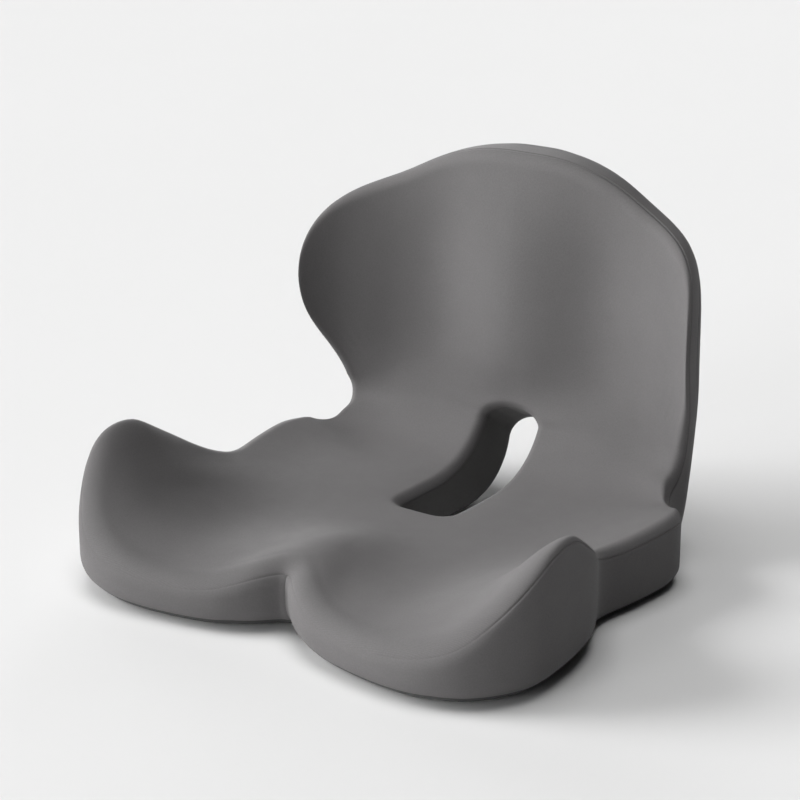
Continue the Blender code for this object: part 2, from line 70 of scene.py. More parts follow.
# Seat
SEAT_HEIGHT = 46.0
FOLD_FADE = 130.0
WING_HEIGHT = 88.5
WING_Y = -101.5
WING_REACH_FRONT = 70.0
WING_REACH_REAR = 46.5
WING_INNER_X = 80.0
WING_OUTER_X = 219.0
WING_POWER = 2.2
WING_FLATNESS = 2.2  # 2 is a plain bell along the crest, and more than 2 has a flatter top
HIP_RISE = 18.0
HIP_X = 195.0
HIP_START_Y = -84.0
HIP_BLEND = 70.0
HIP_POWER = 4
POMMEL_RISE = 13.0
POMMEL_WIDTH = 30.0
POMMEL_END_Y = -24.0
POMMEL_BLEND = 90.0
LIP_DROP = 4.0
LIP_START_Y = -134.0
LIP_BLEND = 60.0
RELIEF_END_S = 60.0

# Back
BACK_THICK_MIDDLE = 45.5
BACK_THICK_EDGE = 29.5
LUMBAR_START_S = 70.0
LUMBAR_BLEND = 90.0
LUMBAR_END_S = 355.0
LUMBAR_FADE = 140.0
LUMBAR_RISE = 12.0
LUMBAR_WIDTH = 38.0
VALLEY_DEPTH = 9.5
VALLEY_A = 88.0
VALLEY_WIDTH = 34.0
WAIST_SET_BACK = 17.5
WAIST_S = 75.0
WAIST_REACH = 40.0

# Fold between seat and back, inside and underneath
KNEE_RADIUS_MIDDLE = 85.0
KNEE_RADIUS_EDGE = 37.0
HEEL_RADIUS_MIDDLE = 75.0
HEEL_RADIUS_EDGE = 31.5

# Edge roundings: those of the back, which grow to the fuller ones of the front lobes
RIM_RADIUS = 12.5
RIM_RADIUS_FRONT = 21.5
FOOT_RADIUS = 16.0
FOOT_RADIUS_FRONT = 26.5
RIM_SHARE = 0.42  # the most of the local thickness that the upper rounding takes
FOOT_SHARE = 0.52  # and that the lower one takes
RIM_GROWTH_WING = 6.0  # the upper rounding is fuller on the thigh wings
SEAM_DEPTH = 10.5  # how far the seam of the top panel runs under the contact side
SEAM_DROP_WING = 11.0  # how much lower that seam runs on the thigh wings
WING_SHARE_FROM = 0.25  # from this share of the wing's height on, the rim counts as wing
FRONT_START_S = -200.0
FRONT_BLEND = 80.0
SLOT_RIM_RADIUS = 9.0
SLOT_FOOT_RADIUS = 12.0

# Tailbone slot on the sheet
SLOT_FRONT_S = -185.0
SLOT_TOP_S = 68.0
SLOT_HALF_WIDTH = 26.0
SLOT_FRONT_SQUARENESS = 4.5

# Right half of the outline on the sheet, from the front notch round to the middle of the top.
# They are the control points of a closed cubic spline, which runs a little inside them.
OUTLINE = (
    (0, -357), (10, -371), (35, -391), (78, -401), (138, -409), (186, -396), (217, -351),
    (218, -315), (212, -250), (183, -217), (195, -174), (201, -121), (199, -89), (204, -68),
    (176, -22), (173, 46), (182, 105), (221, 153), (227, 208), (201, 247), (162, 268), (122, 281),
    (84, 303), (38, 315), (0, 315),
)

# Cover
CLOTH = 1.5
GAP = 0.3
CLOSURE_TAPE = 0.8
CLOSURE_WIDTH = 20.0
CLOSURE_TAPES = ("closure_loop_tape", "closure_hook_tape")
ZIP_TAPES = ("zip_tape_left", "zip_tape_right")
SEAM_TURN = 1.6  # how far a panel's edge turns in at a seam
SEAM_STRENGTH = {"band_top": 1.0, "band_foot": 1.2, "sleeve_top": 0.5, "sleeve_foot": 1.0}
GROOVE_DEPTH = 0.65
GROOVE_WIDTH = 0.7
SHOULDER_RISE = 0.08
SHOULDER_AT = 2.4
SHOULDER_WIDTH = 1.4
PUCKER_RISE = 0.04
PUCKER_PITCH = 16.0
PUCKER_REACH = 7.0
PUCKER_DRIFT = 1.7  # how unevenly they are spaced, in radians
PUCKER_DRIFT_RATE = 0.13
PUCKER_FADE = 0.4  # the weakest of them lose twice this share
PUCKER_FADE_RATE = 0.071
LOBE_START_S = -345.0  # in front of this the seam on the rim pulls less and less
LOBE_BLEND = 45.0
LOBE_EASE = 0.8
BASE_LIFT = 0.6  # the grip dots stand under the base panel by this much
FOAM_EASE = 0.8  # more room between cloth and foam than the CAD bodies have

# Settling of the cloth, by a short simulation of a coarse copy of the cover
SETTLE_RING_STEP = 8.0
SETTLE_EVERY_COLUMN = 3
SETTLE_PRESSURE = 4.0
SETTLE_FRAMES = 20
SETTLE_CAP = 1.2
SETTLE_SMOOTHING = 3  # passes that even out the coarse copy's own folds
SETTLE_START = 0.7  # the cloth starts this much inside the plain skin
SETTLE_ZIP_FLAT = 14.0  # it keeps to the plain skin this near the zip
SETTLE_ZIP_BLEND = 24.0
SETTLE_FLOOR_BLEND = 6.0  # and where it lies on the floor

# Zip on the rear face, the rest of which is measured from its CAD nodes
ZIP_OPENING_HALF = 6.0
ZIP_DRAW_IN = 40.0  # how far from the middle the cloth gives way to the opening
ZIP_END = 4.0
RECESS_DEPTH = 3.2
RECESS_HALF_WIDTH = 16.0
RECESS_SLOPE = 6.0
HEM_RADIUS = 0.9
HEM_OUTSET = 0.3  # of its middle from the opening's edge
HEM_SINK = 0.6  # how much of its radius lies under the skin
HEM_STEPS = 60
COIL_PITCH = 1.25
COIL_WIRE = 0.3
COIL_LOCK = 0.35  # how far a coil's turns reach past the middle
COIL_SHIFT = 0.5  # of the right coil's turns, in turns
COIL_STEPS = 10  # for each turn
STITCH_LENGTH = 2.6
STITCH_PITCH = 3.9
STITCH_RADIUS = 0.28
STITCH_FROM_EDGE = 3.2
STITCH_LIFT = (-0.25, 0.12, 0.2, 0.12, -0.25)  # of the points along a stitch
STITCH_SWELL = (0.6, 1.0, 1.0, 1.0, 0.6)  # their radii, in stitch radii
THREAD_SIDES = 6  # of the thread and of the coils' wire
TACK_HALF_WIDTH = 4.5
TACK_PITCH = 0.55
TACK_ROWS = 5
SLIDER_PLATE = 1.0
SLIDER_CLEAR = 0.5  # between the coils and the slider
FLANGE_THICK = 0.9
FLANGE_INSET = 0.4  # the flanges are this much shorter than the plates at each end
WEDGE_HALF_WIDTH = 0.4
WEDGE_START = 0.2  # from the slider's lower corner
WEDGE_END = 4.0
ROOT = 0.3  # how deep the wedge and the grip dots reach into what they stand on
ARCH_HALF_LENGTH = 2.8
ARCH_WIRE = 0.6
ARCH_ROOT = 0.2  # how deep the arch's feet stand in the plate
EYE_HALF_WIDTH = 1.7
EYE_LENGTH = 5.8
EYE_BAR = 1.2  # between the eye and the tab's end
PULL_BEVEL = 0.3
PULL_SIDES = 48

# Grip dots under the base
DOT_PITCH = 13.0
DOT_RADIUS = 2.2
DOT_EDGE_MARGIN = 34.0
DOT_SLOT_MARGIN = 20.0
DOT_REAR_S = -85.0
DOT_COLUMNS = 18  # on each side of the middle
DOT_SIDES = 10

# Grid of the cover
COLUMNS = 480
RIM_RINGS = 12
CONTACT_RINGS = 60
BAND_RINGS = 17
FOOT_RINGS = 8
UNDER_RINGS = 44
SLEEVE_RINGS = 14
FOAM_EVERY = 2  # the foam takes every second ring and column of the cover's grid

FULL_TURN = 2.0 * math.pi
QUARTER_TURN = math.pi / 2.0
CREASE_ANGLE = 45.0  # edges that turn more than this many degrees show as creases


def smooth(t):
    """0 below t = 0, 1 above t = 1, with a smooth rise between."""
    t = np.clip(t, 0.0, 1.0)
    return t * t * (3.0 - 2.0 * t)


def bell(t, power=2.0):
    return np.exp(-0.5 * np.abs(t) ** power)


def window(value, low, high, slope):
    """1 between low and high, and 0 from a slope's length outside them."""
    return smooth((value - low) / slope + 1.0) * smooth((high - value) / slope + 1.0)


def circle(count):
    """Angles that go evenly round a circle."""
    return np.arange(count) * FULL_TURN / count


def squared(wave, power):
    """A sine or cosine for a rounded rectangle: 2 is a circle, and more is squarer."""
    return np.sign(wave) * np.abs(wave) ** (2.0 / power)


def edge_share(a):
    """0 in the middle of the sheet, 1 at its side edges."""
    return np.clip(np.abs(a) / SHEET_HALF_WIDTH, 0.0, EDGE_LIMIT)


def wall(a):
    """The rear wall in plan, at arc length a from its middle."""
    side = np.sign(a)
    arc = np.abs(a)
    turn_mid = WALL_MID_HALF_ARC / WALL_MID_RADIUS
    turn = np.where(
        arc < WALL_MID_HALF_ARC,
        arc / WALL_MID_RADIUS,
        turn_mid + (arc - WALL_MID_HALF_ARC) / WALL_SIDE_RADIUS,
    )
    turn_in_mid = np.minimum(turn, turn_mid)
    x = WALL_MID_RADIUS * np.sin(turn_in_mid)
    x = x + WALL_SIDE_RADIUS * (np.sin(turn) - np.sin(turn_in_mid))
    y = WALL_Y - WALL_MID_RADIUS * (1.0 - np.cos(turn_in_mid))
    y = y - WALL_SIDE_RADIUS * (np.cos(turn_in_mid) - np.cos(turn))
    return side * x, y


def rear_place(a, s):
    """The rear wall in plan at height s: its sides are set back a little at the waist."""
    x, y = wall(a)
    return x, y + WAIST_SET_BACK * bell((s - WAIST_S) / WAIST_REACH) * edge_share(a) ** 2


def floor_place(a, s):
    """Where a seat point (s < 0) stands on the floor: the fold's curve fades out forwards."""
    x, y = wall(a)
    ahead = smooth(-s / FOLD_FADE)
    return x + (a - x) * ahead, y + (WALL_Y - y) * ahead + np.minimum(s, 0.0)


def back_thickness(a, s):
    """Thickness of the back along Y, with the lumbar ridge and the valleys beside it."""
    thick = BACK_THICK_MIDDLE + (BACK_THICK_EDGE - BACK_THICK_MIDDLE) * edge_share(a) ** 2
    rise = smooth((s - LUMBAR_START_S) / LUMBAR_BLEND)
    fade = smooth((LUMBAR_END_S - s) / LUMBAR_FADE)
    ridge = LUMBAR_RISE * bell(a / LUMBAR_WIDTH)
    valley = VALLEY_DEPTH * bell((np.abs(a) - VALLEY_A) / VALLEY_WIDTH)
    return thick + (ridge - valley) * rise * fade


def seat_relief(a, s):
    """Height above the plain seat: thigh wings, raised hips, the pommel and the front lip."""
    x, y = floor_place(a, s)
    out = np.abs(x)
    along = y - WING_Y
    reach = np.where(along < 0.0, WING_REACH_FRONT, WING_REACH_REAR)
    across = np.clip((out - WING_INNER_X) / (WING_OUTER_X - WING_INNER_X), 0.0, EDGE_LIMIT)
    wing = WING_HEIGHT * bell(along / reach, WING_FLATNESS) * across**WING_POWER
    hip_share = np.clip(out / HIP_X, 0.0, EDGE_LIMIT) ** HIP_POWER
    hip = HIP_RISE * hip_share * smooth((y - HIP_START_Y) / HIP_BLEND)
    pommel = POMMEL_RISE * bell(out / POMMEL_WIDTH) * smooth((POMMEL_END_Y - y) / POMMEL_BLEND)
    lip = LIP_DROP * smooth((LIP_START_Y - y) / LIP_BLEND) * smooth(out / LIP_BLEND)
    return (wing + hip + pommel - lip) * smooth((RELIEF_END_S - s) / RELIEF_END_S)


def fold(before, corner, after, t):
    """A smooth bend from one point past a corner to another."""
    t = t[:, None]
    return (1.0 - t) ** 2 * before + 2.0 * t * (1.0 - t) * corner + t * t * after


def points(x, y, z):
    return np.stack(np.broadcast_arrays(x, y, z), axis=-1).astype(float)


def under_side(sheet):
    """The floor and the rear wall."""
    a, s = sheet[:, 0], sheet[:, 1]
    x, y = rear_place(a, s)
    radius = HEEL_RADIUS_MIDDLE + (HEEL_RADIUS_EDGE - HEEL_RADIUS_MIDDLE) * edge_share(a) ** 2
    floor = points(*floor_place(a, s), 0.0)
    rear = points(x, y, s)
    heel = fold(
        points(*floor_place(a, -radius), 0.0),
        points(x, y, 0.0),
        points(x, y, radius),
        np.clip((s + radius) / (2.0 * radius), 0.0, 1.0),
    )
    on_floor = (s < -radius)[:, None]
    on_rear = (s > radius)[:, None]
    return np.where(on_floor, floor, np.where(on_rear, rear, heel))


def contact_side(sheet):
    """The seat's top and the back's front."""
    a, s = sheet[:, 0], sheet[:, 1]
    x, y = rear_place(a, s)
    thick = back_thickness(a, s)
    front_y = y - thick
    radius = KNEE_RADIUS_MIDDLE + (KNEE_RADIUS_EDGE - KNEE_RADIUS_MIDDLE) * edge_share(a) ** 2
    knee_start = -(thick + radius)
    knee_end = SEAT_HEIGHT + radius
    seat = points(*floor_place(a, s), SEAT_HEIGHT)
    back = points(x, front_y, s)
    knee = fold(
        points(*floor_place(a, knee_start), SEAT_HEIGHT),
        points(x, front_y, SEAT_HEIGHT),
        points(x, front_y, knee_end),
        np.clip((s - knee_start) / (knee_end - knee_start), 0.0, 1.0),
    )
    on_seat = (s < knee_start)[:, None]
    on_back = (s > knee_end)[:, None]
    surface = np.where(on_seat, seat, np.where(on_back, back, knee))
    surface[:, 2] += seat_relief(a, s)
    return surface


def unit(vectors):
    return vectors / np.linalg.norm(vectors, axis=-1, keepdims=True)


def below_contact(sheet, depth):
    """Points at a depth under the contact side, towards the under side."""
    top, under = contact_side(sheet), under_side(sheet)
    return top + unit(under - top) * depth


def above_under(sheet, height):
    """Points at a height over the under side, towards the contact side."""
    top, under = contact_side(sheet), under_side(sheet)
    return under + unit(top - under) * height


def spline_weights(u):
    """The weights of four neighbouring control points of a cubic spline, between the middle two."""
    return (
        (1.0 - u) ** 3 / 6.0,
        (3.0 * u**3 - 6.0 * u**2 + 4.0) / 6.0,
        (-3.0 * u**3 + 3.0 * u**2 + 3.0 * u + 1.0) / 6.0,
        u**3 / 6.0,
    )


def closed_spline(control, place):
    """A closed cubic spline at places counted in control points."""
    first = np.floor(place).astype(int)
    share = (place - first).reshape((-1,) + (1,) * (control.ndim - 1))
    weights = spline_weights(share)
    return sum(weight * control[(first + k - 1) % len(control)] for k, weight in enumerate(weights))


def outline_loop():
    """The closed outline on the sheet, anticlockwise from the front notch."""
    right = np.array(OUTLINE, float)
    left = right[1:-1][::-1] * (-1.0, 1.0)
    control = np.vstack([right, left])
    return closed_spline(control, np.arange(COLUMNS) * len(control) / COLUMNS)


def slot_loop(outline):
    """The slot's edge on the sheet, with one point for each point of the outline."""
    low = SLOT_FRONT_S + SLOT_HALF_WIDTH
    high = SLOT_TOP_S - SLOT_HALF_WIDTH
    middle = np.clip(outline[:, 1], low, high)
    centre = points(0.0, middle, 0.0)[:, :2]
    away = outline - centre
    power = np.where(outline[:, 1] < low, SLOT_FRONT_SQUARENESS, 2.0)[:, None]
    size = (np.abs(away) ** power).sum(axis=1, keepdims=True) ** (1.0 / power)
    return centre + SLOT_HALF_WIDTH * away / size


def left_of(loop):
    """Unit normals to the left of a closed loop's direction."""
    along = unit(np.roll(loop, -1, axis=0) - np.roll(loop, 1, axis=0))
    return np.stack([-along[:, 1], along[:, 0]], axis=1)


def wing_share(outline):
    """1 on the crests of the thigh wings, 0 where the rim is low or belongs to the back."""
    height = seat_relief(outline[:, :1], outline[:, 1:]) / WING_HEIGHT
    return smooth((height - WING_SHARE_FROM) / (1.0 - WING_SHARE_FROM))


def edge_measures(outline):
    """The upper and the lower rounding's radius, the seam's depth and the thickness, as columns."""
    thick = np.linalg.norm(contact_side(outline) - under_side(outline), axis=1, keepdims=True)
    front = smooth((FRONT_START_S - outline[:, 1:]) / FRONT_BLEND)
    wing = wing_share(outline)
    rim = RIM_RADIUS + (RIM_RADIUS_FRONT - RIM_RADIUS) * front + RIM_GROWTH_WING * wing
    foot = FOOT_RADIUS + (FOOT_RADIUS_FRONT - FOOT_RADIUS) * front
    seam = SEAM_DEPTH + SEAM_DROP_WING * wing
    return np.minimum(rim, RIM_SHARE * thick), np.minimum(foot, FOOT_SHARE * thick), seam, thick


def edge_length(depth, rim):
    """Length over the rim's rounding and down the band to a depth under the contact side."""
    turn = np.arccos(1.0 - np.minimum(depth / rim, 1.0))
    return rim * turn + np.maximum(depth - rim, 0.0)


def even(count):
    """Fractions from 0 to 1, both ends included."""
    return np.linspace(0.0, 1.0, count + 1)


def denser_at_end(count):
    return np.sin(even(count) * QUARTER_TURN)


def denser_at_start(count):
    return 1.0 - denser_at_end(count)[::-1]


def cover_skin():
    """The cover's outer face as closed rings, each vertex's place on the cloth, and the seams' rings.

    The rings go round the section: over the slot's rim, across the contact side, down the side
    band, under the base and rear, and up the slot's wall again.
    """
    outline = outline_loop()
    inward = left_of(outline)
    slot = slot_loop(outline)
    from_slot = -left_of(slot)
    rim, foot, seam_depth, thick = edge_measures(outline)
    rings = []
    sheets = []
    seams = {"sleeve_top": 0}

    def add(sheet, ring):
        sheets.append(sheet)
        rings.append(ring)

    for turn in denser_at_start(RIM_RINGS) * QUARTER_TURN:
        sheet = slot + from_slot * SLOT_RIM_RADIUS * (1.0 - math.cos(turn))
        add(sheet, below_contact(sheet, SLOT_RIM_RADIUS * (1.0 - math.sin(turn))))

    inner, outer = slot + from_slot * SLOT_RIM_RADIUS, outline + inward * rim
    for share in even(CONTACT_RINGS)[1:-1]:
        sheet = inner * (1.0 - share) + outer * share
        add(sheet, contact_side(sheet))

    def add_on_edge(length):
        turn = np.minimum(length / rim, QUARTER_TURN)
        sheet = outline + inward * rim * (1.0 - np.sin(turn))
        depth = rim * (1.0 - np.cos(turn)) + np.maximum(length - rim * QUARTER_TURN, 0.0)
        add(sheet, below_contact(sheet, depth))

    to_seam, to_foot = edge_length(seam_depth, rim), edge_length(thick - foot, rim)
    for share in denser_at_end(RIM_RINGS):
        add_on_edge(to_seam * share)
    seams["band_top"] = len(rings) - 1
    for share in denser_at_start(BAND_RINGS)[1:-1]:
        add_on_edge(to_seam + (to_foot - to_seam) * share)

    half_turn = denser_at_end(FOOT_RINGS) * 0.5
    for turn in np.concatenate([half_turn, 1.0 - half_turn[-2::-1]]) * QUARTER_TURN:
        sheet = outline + inward * foot * (1.0 - math.cos(turn))
        add(sheet, above_under(sheet, foot * (1.0 - math.sin(turn))))
    seams["band_foot"] = len(rings) - 1 - FOOT_RINGS

    outer, inner = outline + inward * foot, slot + from_slot * SLOT_FOOT_RADIUS
    for share in even(UNDER_RINGS)[1:-1]:
        sheet = outer * (1.0 - share) + inner * share
        add(sheet, under_side(sheet))
    seams["sleeve_foot"] = len(rings)

    for turn in even(RIM_RINGS) * QUARTER_TURN:
        sheet = slot + from_slot * SLOT_FOOT_RADIUS * (1.0 - math.sin(turn))
        add(sheet, above_under(sheet, SLOT_FOOT_RADIUS * (1.0 - math.cos(turn))))

    wall_foot, wall_top = rings[-1], rings[0]
    for share in even(SLEEVE_RINGS)[1:-1]:
        add(slot, wall_foot * (1.0 - share) + wall_top * share)

    return np.stack(rings), np.stack(sheets), seams


def outward_normals(grid):
    around = np.roll(grid, -1, axis=1) - np.roll(grid, 1, axis=1)
    across = np.roll(grid, -1, axis=0) - np.roll(grid, 1, axis=0)
    return unit(np.cross(across, around))


def loop_distance(grid, axis, index):
    """Distance over the skin from a ring (axis 0) or a column (axis 1), the shorter way round."""
    step = np.linalg.norm(np.roll(grid, -1, axis=axis) - grid, axis=2)
    reach = np.cumsum(step, axis=axis) - step
    total = step.sum(axis=axis, keepdims=True)
    away = np.abs(reach - np.take(reach, [index], axis=axis))
    return np.minimum(away, total - away)


def groove(distance):
    """The section of a sewn seam: a narrow groove between two low shoulders."""
    dip = GROOVE_DEPTH * np.exp(-((distance / GROOVE_WIDTH) ** 2))
    shoulder = SHOULDER_RISE * np.exp(-(((distance - SHOULDER_AT) / SHOULDER_WIDTH) ** 2))
    return shoulder - dip


def pucker(distance, along):
    """Faint gathers that run out from a seam, at a pitch that drifts along it."""
    phase = FULL_TURN * along / PUCKER_PITCH
    wave = np.sin(phase + PUCKER_DRIFT * np.sin(phase * PUCKER_DRIFT_RATE))
    share = 1.0 - PUCKER_FADE + PUCKER_FADE * np.sin(phase * PUCKER_FADE_RATE)
    return PUCKER_RISE * wave * share * np.exp(-distance / PUCKER_REACH)


def sewn_relief(grid, seams):
    """How far the cover stands out from the plain skin because of its seams."""
    ring_step = np.linalg.norm(np.roll(grid, -1, axis=1) - grid, axis=2)
    along = np.cumsum(ring_step, axis=1)
    relief = np.zeros(grid.shape[:2])
    ease = 1.0 - LOBE_EASE * smooth((LOBE_START_S - outline_loop()[:, 1]) / LOBE_BLEND)
    for name, strength in SEAM_STRENGTH.items():
        distance = loop_distance(grid, 0, seams[name])
        pull = strength * ease if name == "band_top" else strength
        relief += pull * (groove(distance) + pucker(distance, along[seams[name]][None, :]))
    rings = np.arange(len(grid))
    in_band = (rings >= seams["band_top"]) & (rings <= seams["band_foot"])
    relief += groove(loop_distance(grid, 1, 0)) * in_band[:, None]
    return relief


NOISE_LOW = 0.3  # noise lies mostly between these two
NOISE_HIGH = 0.7
CLOTH_SPECULAR = 0.25
SHEEN_ROUGHNESS = 0.45
ARM_EDGE = 0.35  # how high a stitch's arm is at its edges, where its middle gains 1
GROUND_PAINTED_SHADE = 0.96  # painted shade: the colour of the cloth between the stitches
STITCH_PAINTED_SHADE = 0.25  # painted shade: colour gained for each unit of a stitch's height, so the crests are painted lighter than the valleys
FUZZ_HEIGHT = 0.35  # beside stitches that are up to 0.7 high
TWILL_RIBS = 1400.0  # per metre
TWILL_PAINTED_SHADE = 0.75  # painted shade: the colour of the grooves between the ribs


def material(name, colour, roughness):
    """A material with its Principled shader and its tree, ready for a pattern of nodes."""
    made = bpy.data.materials.new(name)
    made.use_nodes = True
    shader = made.node_tree.nodes["Principled BSDF"]
    shader.inputs["Base Color"].default_value = (*colour, 1.0)
    shader.inputs["Roughness"].default_value = roughness
    return made, shader, made.node_tree


def node(tree, kind, **values):
    """A shader node with values on its sockets, where _ stands for the space in a socket's name."""
    made = tree.nodes.new("ShaderNode" + kind)
    for name, value in values.items():
        made.inputs[name.replace("_", " ")].default_value = value
    return made


def object_place(tree):
    return node(tree, "TexCoord").outputs["Object"]


def noise(tree, scale, detail=2.0, stretch=None):
    """Noise in object space, with scale in cells per metre."""
    made = node(tree, "TexNoise", Scale=scale, Detail=detail)
    place = object_place(tree)
    if stretch:
        mapping = node(tree, "Mapping", Scale=stretch)
        tree.links.new(place, mapping.inputs["Vector"])
        place = mapping.outputs["Vector"]
    tree.links.new(place, made.inputs["Vector"])
    return made.outputs["Fac"]


def spread(tree, value, low, high):
    """Maps noise to a range."""
    made = node(tree, "MapRange", From_Min=NOISE_LOW, From_Max=NOISE_HIGH, To_Min=low, To_Max=high)
    tree.links.new(value, made.inputs["Value"])
    return made.outputs["Result"]


def calculate(tree, operation, first, second=None):
    """A math node: each operand is a socket or a number."""
    made = node(tree, "Math")
    made.operation = operation
    for slot, operand in zip(made.inputs, (first, second)):
        if isinstance(operand, (int, float)):
            slot.default_value = operand
        elif operand is not None:
            tree.links.new(operand, slot)
    return made.outputs["Value"]


def tint(tree, shader, colour, factor):
    """The colour times a factor from nodes."""
    made = node(tree, "VectorMath")
    made.operation = "SCALE"
    made.inputs["Vector"].default_value = colour
    tree.links.new(factor, made.inputs["Scale"])
    tree.links.new(made.outputs["Vector"], shader.inputs["Base Color"])


def wear(tree, shader, pattern, low, high):
    """A roughness that follows a pattern."""
    tree.links.new(spread(tree, pattern, low, high), shader.inputs["Roughness"])


def bump(tree, shader, height, strength, distance):
    made = node(tree, "Bump", Strength=strength, Distance=distance)
    tree.links.new(height, made.inputs["Height"])
    tree.links.new(made.outputs["Normal"], shader.inputs["Normal"])


def knit_height(tree, wale, course):
    """Rows of small interlocked V stitches, from each vertex's place on the cloth."""
    place = node(tree, "Attribute")
    place.attribute_name = "cloth_place"
    split = node(tree, "SeparateXYZ")
    tree.links.new(place.outputs["Vector"], split.inputs["Vector"])
    across = calculate(tree, "MULTIPLY", split.outputs["X"], 1.0 / wale)
    along = calculate(tree, "MULTIPLY", split.outputs["Y"], 1.0 / course)
    arm = calculate(tree, "PINGPONG", across, 0.5)
    slant = calculate(tree, "ADD", along, arm)
    yarn = calculate(tree, "PINGPONG", slant, 0.5)
    swell = calculate(tree, "SINE", calculate(tree, "MULTIPLY", arm, FULL_TURN))
    return calculate(tree, "MULTIPLY", yarn, calculate(tree, "ADD", swell, ARM_EDGE))


def fabric(name, colour, wale, course, sheen):
    """Knitted cloth: V stitches with painted shade in the valleys between them, yarns that differ a
    little, soft patches of wear, and a sheen.
    """
    made, shader, tree = material(name, colour, roughness=0.9)
    shader.inputs["Sheen Weight"].default_value = sheen
    shader.inputs["Sheen Roughness"].default_value = SHEEN_ROUGHNESS
    shader.inputs["Specular IOR Level"].default_value = CLOTH_SPECULAR
    stitch = knit_height(tree, wale, course)
    yarn = spread(tree, noise(tree, scale=900.0), low=0.94, high=1.06)
    patches = spread(tree, noise(tree, scale=14.0, detail=4.0), low=0.97, high=1.03)
    shade = calculate(tree, "MULTIPLY", yarn, patches)
    # Painted shade: the stitches' crests are painted lighter and the valleys between them darker
    crest_painted_light = calculate(tree, "MULTIPLY", stitch, STITCH_PAINTED_SHADE)
    relief = calculate(tree, "ADD", crest_painted_light, GROUND_PAINTED_SHADE)
    tint(tree, shader, colour, calculate(tree, "MULTIPLY", shade, relief))
    wear(tree, shader, noise(tree, scale=60.0, detail=3.0), low=0.84, high=0.95)
    fuzz = calculate(tree, "MULTIPLY", noise(tree, scale=1500.0), FUZZ_HEIGHT)
    bump(tree, shader, calculate(tree, "ADD", stitch, fuzz), strength=0.35, distance=0.0003)
    return made


def twill(name, colour):
    """A narrow woven tape: fine slanting ribs, with painted shade in the grooves between them."""
    made, shader, tree = material(name, colour, roughness=0.85)
    split = node(tree, "SeparateXYZ")
    tree.links.new(object_place(tree), split.inputs["Vector"])
    out = calculate(tree, "ABSOLUTE", split.outputs["X"])
    slant = calculate(tree, "ADD", out, split.outputs["Z"])
    rib = calculate(tree, "PINGPONG", calculate(tree, "MULTIPLY", slant, TWILL_RIBS), 0.5)
    yarn = spread(tree, noise(tree, scale=700.0), low=0.9, high=1.1)
    # Painted shade: the grooves between the ribs are painted darker than the ribs' crests
    tint(tree, shader, colour, calculate(tree, "MULTIPLY", yarn, calculate(tree, "ADD", rib, TWILL_PAINTED_SHADE)))
    wear(tree, shader, noise(tree, scale=300.0), low=0.78, high=0.92)
    bump(tree, shader, rib, strength=0.4, distance=0.0002)
    return made


def pile(name, colour):
    """Hook-and-loop tape: a dense felted pile."""
    made, shader, tree = material(name, colour, roughness=0.95)
    fibres = noise(tree, scale=1800.0, detail=4.0)
    tint(tree, shader, colour, spread(tree, fibres, low=0.7, high=1.3))
    wear(tree, shader, noise(tree, scale=400.0), low=0.88, high=1.0)
    bump(tree, shader, fibres, strength=0.6, distance=0.0004)
    return made


def foam_look(name, colour):
    """Moulded foam: a cream skin with fine pores and faint yellowing."""
    made, shader, tree = material(name, colour, roughness=0.9)
    pores = node(tree, "TexVoronoi", Scale=700.0)
    tree.links.new(object_place(tree), pores.inputs["Vector"])
    tint(tree, shader, colour, spread(tree, noise(tree, scale=9.0, detail=3.0), low=0.94, high=1.04))
    wear(tree, shader, noise(tree, scale=200.0), low=0.84, high=0.96)
    bump(tree, shader, pores.outputs["Distance"], strength=0.3, distance=0.0003)
    return made


def hard(name, colour, roughness, metallic, streaks):
    """Nylon, silicone or painted metal: slight mottling, fine scratches and handling marks."""
    made, shader, tree = material(name, colour, roughness)
    shader.inputs["Metallic"].default_value = metallic
    tint(tree, shader, colour, spread(tree, noise(tree, scale=250.0, detail=3.0), low=0.88, high=1.12))
    scratches = noise(tree, scale=900.0, detail=3.0, stretch=streaks)
    wear(tree, shader, scratches, low=roughness * 0.75, high=roughness * 1.3)
    bump(tree, shader, scratches, strength=0.08, distance=0.0001)
    return made


KNIT = fabric("knit_fabric", (0.112, 0.108, 0.109), wale=0.0013, course=0.0010, sheen=0.08)
KNIT_DARK = fabric("knit_hem", (0.10, 0.098, 0.097), wale=0.0013, course=0.0010, sheen=0.08)
# The slot's lining is a little darker than the cover's knit, partly as painted shade for the slot's shaded
# inside
SLEEVE = fabric("sleeve_fabric", (0.10, 0.098, 0.097), wale=0.0016, course=0.0012, sheen=0.05)
GRIP = fabric("grip_fabric", (0.05, 0.05, 0.05), wale=0.0020, course=0.0014, sheen=0.05)
THREAD = twill("stitch_thread", (0.15, 0.147, 0.143))
TAPE = twill("zip_tape", (0.09, 0.088, 0.085))
CLOSURE = pile("closure_tape", (0.04, 0.04, 0.04))
FOAM = foam_look("foam", (0.80, 0.77, 0.68))
# How scratches are stretched: not at all, and along Z
EVEN = (1.0, 1.0, 1.0)
ALONG_Z = (1.0, 1.0, 0.15)
COIL = hard("zip_coil", (0.06, 0.06, 0.06), roughness=0.45, metallic=0.0, streaks=EVEN)
METAL = hard("zip_metal", (0.07, 0.07, 0.07), roughness=0.35, metallic=0.7, streaks=ALONG_Z)
SILICONE = hard("grip_silicone", (0.04, 0.04, 0.042), roughness=0.55, metallic=0.0, streaks=EVEN)


def show(name, data):
    """An object in the scene that shows a mesh, a lamp or a camera."""
    made = bpy.data.objects.new(name, data)
    bpy.context.scene.collection.objects.link(made)
    return made


def link(name, mesh, looks):
    for look in looks:
        mesh.materials.append(look)
    mesh.shade_smooth()
    mesh.set_sharp_from_angle(angle=math.radians(CREASE_ANGLE))
    return show(name, mesh)


def mesh_of(name, vertices, faces):
    """A mesh from vertices in millimetres."""
    mesh = bpy.data.meshes.new(name)
    mesh.from_pydata((np.asarray(vertices) * MM).tolist(), [], [list(map(int, f)) for f in faces])
    return mesh


